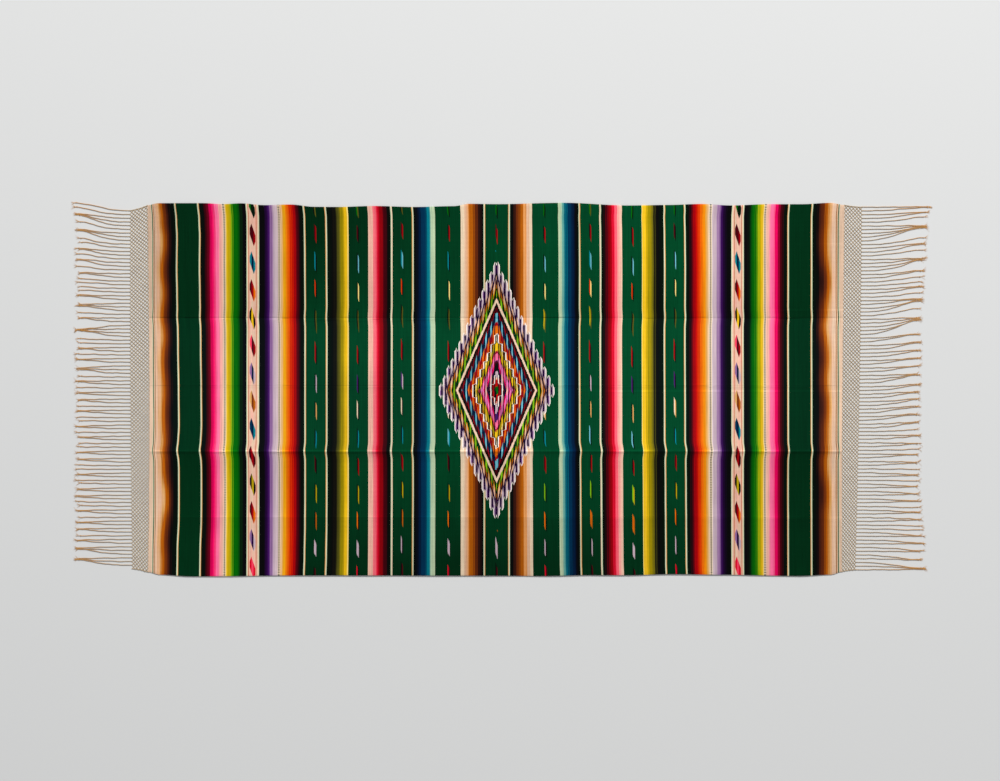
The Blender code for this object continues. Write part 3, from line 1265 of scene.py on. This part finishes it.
def shell(name, columns, rows, place, maps):
    """An open grid whose points are set by place, with maps of what each one measures."""
    mesh = bpy.data.meshes.new(name)
    grid = bmesh.new()
    bmesh.ops.create_grid(grid, x_segments=len(columns) - 1, y_segments=len(rows) - 1, size=1.0)
    for point in grid.verts:
        column = round((point.co.x + 1.0) / 2.0 * (len(columns) - 1))
        row = round((point.co.y + 1.0) / 2.0 * (len(rows) - 1))
        point.co = place(columns[column], rows[row])
    for map_name, measure in maps.items():
        measures = {point: measure(point.co) for point in grid.verts}
        layer = grid.loops.layers.uv.new(map_name)
        for face in grid.faces:
            face.smooth = True
            for corner in face.loops:
                corner[layer].uv = measures[corner.vert]
    grid.to_mesh(mesh)
    grid.free()
    piece = bpy.data.objects.new(name, mesh)
    bpy.context.scene.collection.objects.link(piece)
    return piece


def woven_cloth():
    half = CLOTH_WIDTH / 2.0

    def place(along, across):
        left = through_three(LEFT_CLOTH_END, across)
        right = through_three(RIGHT_CLOTH_END, across)
        lower = -half + read_table(LOWER_SELVEDGE, along * CLOTH_LENGTH)
        upper = half - read_table(UPPER_SELVEDGE, along * CLOTH_LENGTH)
        x = left + (right - left) * along
        y = lower + (upper - lower) * across
        return x, y, lift(x, along, (across - 0.5) * CLOTH_WIDTH)

    lines_across = [0.0, CLOTH_WIDTH]
    for fold in FOLDS:
        for flank in (-fold.lower_flank, 0.0, fold.upper_flank):
            lines_across.append(half + fold.across + flank)
    for crease in CREASES:
        for side in (-2.0, -1.0, 0.0, 1.0, 2.0):
            lines_across.append(half + crease.across + side * crease.half_width)
    lines_across = [line for line in lines_across if 0.0 <= line <= CLOTH_WIDTH]
    rows = [line / CLOTH_WIDTH for line in filled(lines_across, WIDEST_ACROSS)]
    columns = [step / CELLS_ALONG for step in range(CELLS_ALONG + 1)]
    maps = {
        "weave": lambda point: (pattern_distance(point.x, point.y), point.y - PATTERN_Y),
        "rows": lambda point: (dash_row(point.y), 0.0),
    }
    piece = shell("woven_serape", columns, rows, place, maps)
    wall = piece.modifiers.new("wall", "SOLIDIFY")
    wall.thickness = CLOTH_WALL
    wall.offset = 1.0
    rim = piece.modifiers.new("rim", "BEVEL")
    rim.width = 0.6 * MM
    rim.segments = 2
    rim.limit_method = "ANGLE"
    rim.angle_limit = 0.9
    piece.data.materials.append(woven_wool())
    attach(piece, "root")
    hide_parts("serape_cloth")
    return piece


# ---------------------------------------------------------------- cords of nets and fringes


def cord_mesh(name, runs, radius, roundness):
    """One mesh of round cords, each a run of (x, y, z, share of the radius)."""
    curve = bpy.data.curves.new(name, "CURVE")
    curve.dimensions = "3D"
    curve.bevel_depth = radius
    curve.bevel_resolution = roundness
    curve.use_fill_caps = True
    for run in runs:
        spline = curve.splines.new("POLY")
        spline.points.add(len(run) - 1)
        for point, (x, y, z, share) in zip(spline.points, run):
            point.co = (x, y, z, 1.0)
            point.radius = share
    drawn = bpy.data.objects.new(name + "_drawn", curve)
    bpy.context.scene.collection.objects.link(drawn)
    evaluated = drawn.evaluated_get(bpy.context.evaluated_depsgraph_get())
    mesh = bpy.data.meshes.new_from_object(evaluated)
    bpy.data.objects.remove(drawn)
    capped = bmesh.new()
    capped.from_mesh(mesh)
    bmesh.ops.remove_doubles(capped, verts=capped.verts, dist=0.01 * MM)
    for face in capped.faces:
        face.smooth = True
    capped.to_mesh(mesh)
    capped.free()
    piece = bpy.data.objects.new(name, mesh)
    bpy.context.scene.collection.objects.link(piece)
    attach(piece, "root")
    return piece


def join_in(piece, extra):
    """Moves the extra cords into the piece's mesh."""
    joined = bmesh.new()
    joined.from_mesh(piece.data)
    joined.from_mesh(extra.data)
    joined.to_mesh(piece.data)
    joined.free()
    bpy.data.objects.remove(extra)


# Each end of the serape: which way is outwards, and the lines and sides it lies between
End = namedtuple("End", "name outward cloth_end net_edge net_sides tips")
LEFT_END = End("left", -1.0, LEFT_CLOTH_END, LEFT_NET_EDGE, LEFT_NET_SIDES, LEFT_TIPS)
RIGHT_END = End("right", 1.0, RIGHT_CLOTH_END, RIGHT_NET_EDGE, RIGHT_NET_SIDES, RIGHT_TIPS)

# The warp ends are tied into bundles, which are knotted to their neighbours row by row
BUNDLES = 97
KNOT_ROWS = 10
STRAND_RADIUS = 0.82 * MM
KNOT_RADIUS = 1.25 * MM
KNOT_LENGTH = 2.7 * MM


def net_place(end, out, across):
    """A point of the net, from the cloth's end out and from the lower side up."""
    start = through_three(end.cloth_end, across)
    edge = through_three(end.net_edge, across)
    lower, upper = (through_three(side, out) for side in end.net_sides)
    return start + (edge - start) * out, lower + (upper - lower) * across


def knot_place(end, row, bundle):
    """Where a knot was pulled tight, a little off the even lattice."""
    x, y = net_place(end, row / KNOT_ROWS, min(max(bundle / BUNDLES, 0.0), 1.0))
    if 0 < row < KNOT_ROWS:
        x += 0.9 * MM * noise.noise(Vector((row * 1.7, bundle * 0.9, end.outward)))
        y += 0.9 * MM * noise.noise(Vector((row * 1.7, bundle * 0.9, 7.0 + end.outward)))
    return x, y


def net_strand(end, bundle, lean):
    """One strand of a bundle, which zigzags between its neighbours' knots."""
    knots = [
        knot_place(end, row, min(max(bundle + lean * (row % 2) / 2.0, 0.0), BUNDLES))
        for row in range(KNOT_ROWS + 1)
    ]
    run = [(knots[0][0] - end.outward * 1.2 * MM, knots[0][1], 0.95 * MM, 0.9)]
    for row, ((x, y), (next_x, next_y)) in enumerate(zip(knots, knots[1:])):
        run.append((x, y + lean * 0.25 * MM * (1.0 - 2.0 * (row % 2)), 1.05 * MM, 0.8))
        for share in (0.3, 0.7):
            run.append((x + (next_x - x) * share, y + (next_y - y) * share, 0.85 * MM, 1.0))
    run.append((*knots[-1], 1.05 * MM, 0.8))
    return run


def net_knot(end, row, bundle):
    x, y = knot_place(end, row, bundle)
    size = 1.0 + 0.22 * noise.noise(Vector((row * 3.1, bundle * 2.3, 11.0)))
    turn = 0.35 * MM * noise.noise(Vector((row * 2.1, bundle * 1.3, 17.0)))
    shape = ((-0.5, 0.45), (-0.22, 0.98), (0.16, 1.0), (0.5, 0.5))
    return [
        (x + place * KNOT_LENGTH * size, y + turn * place * 4.0, 1.32 * MM, share * size)
        for place, share in shape
    ]


def knotted_net(end, finish):
    strands = []
    for bundle in range(BUNDLES + 1):
        strands.append(net_strand(end, bundle, -1.0))
        strands.append(net_strand(end, bundle, 1.0))
    name = "knotted_net_" + end.name
    piece = cord_mesh(name, strands, STRAND_RADIUS, 1)
    knots = []
    for row in range(KNOT_ROWS + 1):
        for bundle in range(BUNDLES + 1 - row % 2):
            knots.append(net_knot(end, row, bundle + (row % 2) / 2.0))
    tied = cord_mesh(name + "_knots", knots, KNOT_RADIUS, 1)
    join_in(piece, tied)
    piece.data.materials.append(finish)
    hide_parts("net_" + end.name)
    return piece


# Fringe cords counted down from the upper side: how many meet in each tuft at their tips
LEFT_TUFTS = (1, 1, 3, 1, 3, 1, 1, 2, 1, 2, 1, 2, 1, 1, 1, 1, 2, 3, 1, 2, 4, 1, 1, 2, 1, 2)
LEFT_TUFTS += (3, 1, 2, 1, 2, 2, 1, 2, 1, 1, 2, 1, 2, 1, 1, 2, 2, 1, 1, 2, 1, 1, 2, 2, 1, 1)
LEFT_TUFTS += (2, 1, 2, 2, 1, 2, 3, 3)
RIGHT_TUFTS = (2, 2, 1, 5, 1, 2, 1, 4, 2, 1, 1, 2, 1, 4, 1, 5, 2, 2, 2, 2, 2, 3, 2, 2, 2, 2)
RIGHT_TUFTS += (2, 2, 1, 2, 2, 1, 2, 2, 1, 2, 1, 2, 2, 2, 1, 2, 2, 1, 1, 2, 2, 2, 2, 3)
# How far the cords lean up on their way out, at places up the serape
Lean = namedtuple("Lean", "across up")
LEFT_LEAN = (
    Lean(-0.560, 0.002),
    Lean(-0.505, 0.005),
    Lean(-0.440, 0.001),
    Lean(-0.100, 0.001),
    Lean(0.150, 0.003),
    Lean(0.300, 0.006),
    Lean(0.400, 0.014),
    Lean(0.470, 0.020),
    Lean(0.520, 0.023),
    Lean(0.560, 0.023),
)
RIGHT_LEAN = (
    Lean(-0.560, 0.005),
    Lean(-0.520, -0.010),
    Lean(-0.450, -0.004),
    Lean(-0.360, -0.002),
    Lean(-0.270, -0.003),
    Lean(-0.180, 0.003),
    Lean(-0.060, 0.012),
    Lean(0.060, 0.011),
    Lean(0.130, 0.014),
    Lean(0.180, 0.024),
    Lean(0.240, 0.020),
    Lean(0.290, 0.012),
    Lean(0.360, 0.016),
    Lean(0.480, 0.020),
    Lean(0.560, 0.004),
)
CORD_RADIUS = 1.12 * MM
PLY_RADIUS = 0.64 * MM
PLY_OFFSET = 0.48 * MM
TWIST_PITCH = 0.0105
POINTS_A_TURN = 5
TUFT_SPACING = 2.0 * MM


def cord_line(start, tip, bend, waves):
    """A cord's middle line in the plane: straight out, then over to its tuft."""
    length = abs(tip[0] - start[0])
    steps = ceil(length / TWIST_PITCH * POINTS_A_TURN)
    line = []
    for step in range(steps + 1):
        share = step / steps
        x = start[0] + (tip[0] - start[0]) * share
        y = start[1] + (tip[1] - start[1]) * smooth(share * 0.5 + share**bend * 0.5)
        for size, turns, phase in waves:
            y += size * sin(turns * share * 2.0 * pi + phase) * smooth(share * 4.0)
        line.append(Vector((x, y, CORD_RADIUS)))
    return line


def plies(line, phase):
    """Two plies twisted round a line, which come apart at its tip."""
    last = len(line) - 1
    for ply in (0.0, pi):
        run = []
        for index, middle in enumerate(line):
            ahead = line[min(index + 1, last)] - line[max(index - 1, 0)]
            aside = Vector((-ahead.y, ahead.x, 0.0)).normalized()
            turn = index / POINTS_A_TURN * 2.0 * pi + phase + ply
            loose = smooth((index - last + 16) / 16.0)
            offset = PLY_OFFSET * (1.0 + loose * 0.9)
            point = middle + aside * (sin(turn) * offset)
            point.z += sin(turn + pi / 2.0) * PLY_OFFSET
            run.append((*point, 1.0 - 0.2 * loose))
        yield run


def wisps(chance, line, outward, count, spread, reach):
    """Fibres that fray from a tip."""
    tip = line[-1]
    for _ in range(count):
        lean = chance.uniform(-spread, spread)
        length = reach * chance.uniform(0.35, 1.0)
        curl = chance.uniform(-0.5, 0.5)
        run = []
        for share in (-0.35, 0.0, 0.35, 0.7, 1.0):
            x = tip.x + outward * length * share
            y = tip.y + length * (lean * share + curl * share * share)
            z = CORD_RADIUS * (1.0 - 0.35 * max(share, 0.0)) + 0.3 * MM * lean
            run.append((x, y, z, 0.5 - 0.25 * max(share, 0.0)))
        yield run


def twisted_fringe(end, tufts, lean, finish):
    chance = random.Random("fringe " + end.name)
    runs = []
    frays = []
    bundle = BUNDLES
    for count in tufts:
        places = []
        for _ in range(count):
            x, y = knot_place(end, KNOT_ROWS, max(bundle, 0))
            places.append((x + end.outward * 1.0 * MM, y))
            bundle -= 1
        middle = sum(y for _, y in places) / count
        tuft_y = middle + read_table(lean, middle) + chance.uniform(-1.5, 1.5) * MM
        for rank, (x, y) in enumerate(places):
            reach = read_table(end.tips, y) + chance.uniform(-0.009, 0.003)
            tip_y = tuft_y - (rank - (count - 1) / 2.0) * TUFT_SPACING
            tip_y += chance.uniform(-0.8, 0.8) * MM
            waves = (
                (chance.uniform(0.2, 0.9) * MM, chance.uniform(1.5, 3.0), chance.uniform(0, 6)),
                (chance.uniform(0.1, 0.35) * MM, chance.uniform(4.0, 7.0), chance.uniform(0, 6)),
            )
            bend = chance.uniform(1.2, 3.4)
            line = cord_line((x, y), (x + end.outward * reach, tip_y), bend, waves)
            runs.extend(plies(line, chance.uniform(0.0, 2.0 * pi)))
            frays.extend(wisps(chance, line, end.outward, 8, 0.5, 0.014))
    piece = cord_mesh("twisted_fringe_" + end.name, runs, PLY_RADIUS, 0)
    frayed = cord_mesh("frayed_tips_" + end.name, frays, PLY_RADIUS, 0)
    join_in(piece, frayed)
    piece.data.materials.append(finish)
    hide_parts("fringe_" + end.name)
    return piece


# ---------------------------------------------------------------- studio


FLOOR_COLOUR = (0.68, 0.68, 0.67, 1.0)
FLOOR_SIZE = 14.0
FLOOR_HEIGHT = -0.0004
SKY_COLOUR = (0.95, 0.97, 1.0, 1.0)
SKY_STRENGTH = 0.37
WINDOW_PLACE = (2.0, 11.2, 9.6)
WINDOW_AIM = (0.3, 0.0, 0.0)
WINDOW_WIDTH = 4.5
WINDOW_DEPTH = 3.0
WINDOW_WATTS = 2380.0
CAMERA_PLACE = (-0.0045, -0.0027, 6.25)
CAMERA_LENS = 75.0
CAMERA_SENSOR = 36.0


def plain_floor():
    finish = Finish("studio_floor", roughness=0.9)
    finish.shader.inputs["Base Color"].default_value = FLOOR_COLOUR
    bpy.ops.mesh.primitive_plane_add(size=FLOOR_SIZE, location=(0.0, 0.0, FLOOR_HEIGHT))
    floor = bpy.context.object
    floor.name = "studio_floor"
    floor.data.materials.append(finish.material)


def soft_light(name, place, aim, width, depth, watts):
    lamp = bpy.data.lights.new(name, "AREA")
    lamp.shape = "RECTANGLE"
    lamp.size = width
    lamp.size_y = depth
    lamp.energy = watts
    light = bpy.data.objects.new(name, lamp)
    light.location = place
    light.rotation_euler = (Vector(aim) - Vector(place)).to_track_quat("-Z", "Y").to_euler()
    bpy.context.scene.collection.objects.link(light)


def studio():
    scene = bpy.context.scene
    scene.view_settings.view_transform = "Standard"
    world = bpy.data.worlds.new("studio")
    world.use_nodes = True
    sky = world.node_tree.nodes["Background"]
    sky.inputs["Color"].default_value = SKY_COLOUR
    sky.inputs["Strength"].default_value = SKY_STRENGTH
    scene.world = world
    soft_light(
        "window_light", WINDOW_PLACE, WINDOW_AIM, WINDOW_WIDTH, WINDOW_DEPTH, WINDOW_WATTS
    )
    camera = bpy.data.objects.new("camera", bpy.data.cameras.new("camera"))
    camera.data.lens = CAMERA_LENS
    camera.data.sensor_width = CAMERA_SENSOR
    camera.location = CAMERA_PLACE
    scene.collection.objects.link(camera)
    scene.camera = camera


studio()
plain_floor()
cloth = woven_cloth()
net_finish = spun_cord("net_cord", "ecru", "ecru", 2.0, 3.0)
fringe_finish = spun_cord("fringe_cord", "ecru", "frayed_gold", 1.120, 1.270)
for end, tufts, lean in (
    (LEFT_END, LEFT_TUFTS, LEFT_LEAN),
    (RIGHT_END, RIGHT_TUFTS, RIGHT_LEAN),
):
    knotted_net(end, net_finish)
    twisted_fringe(end, tufts, lean, fringe_finish)
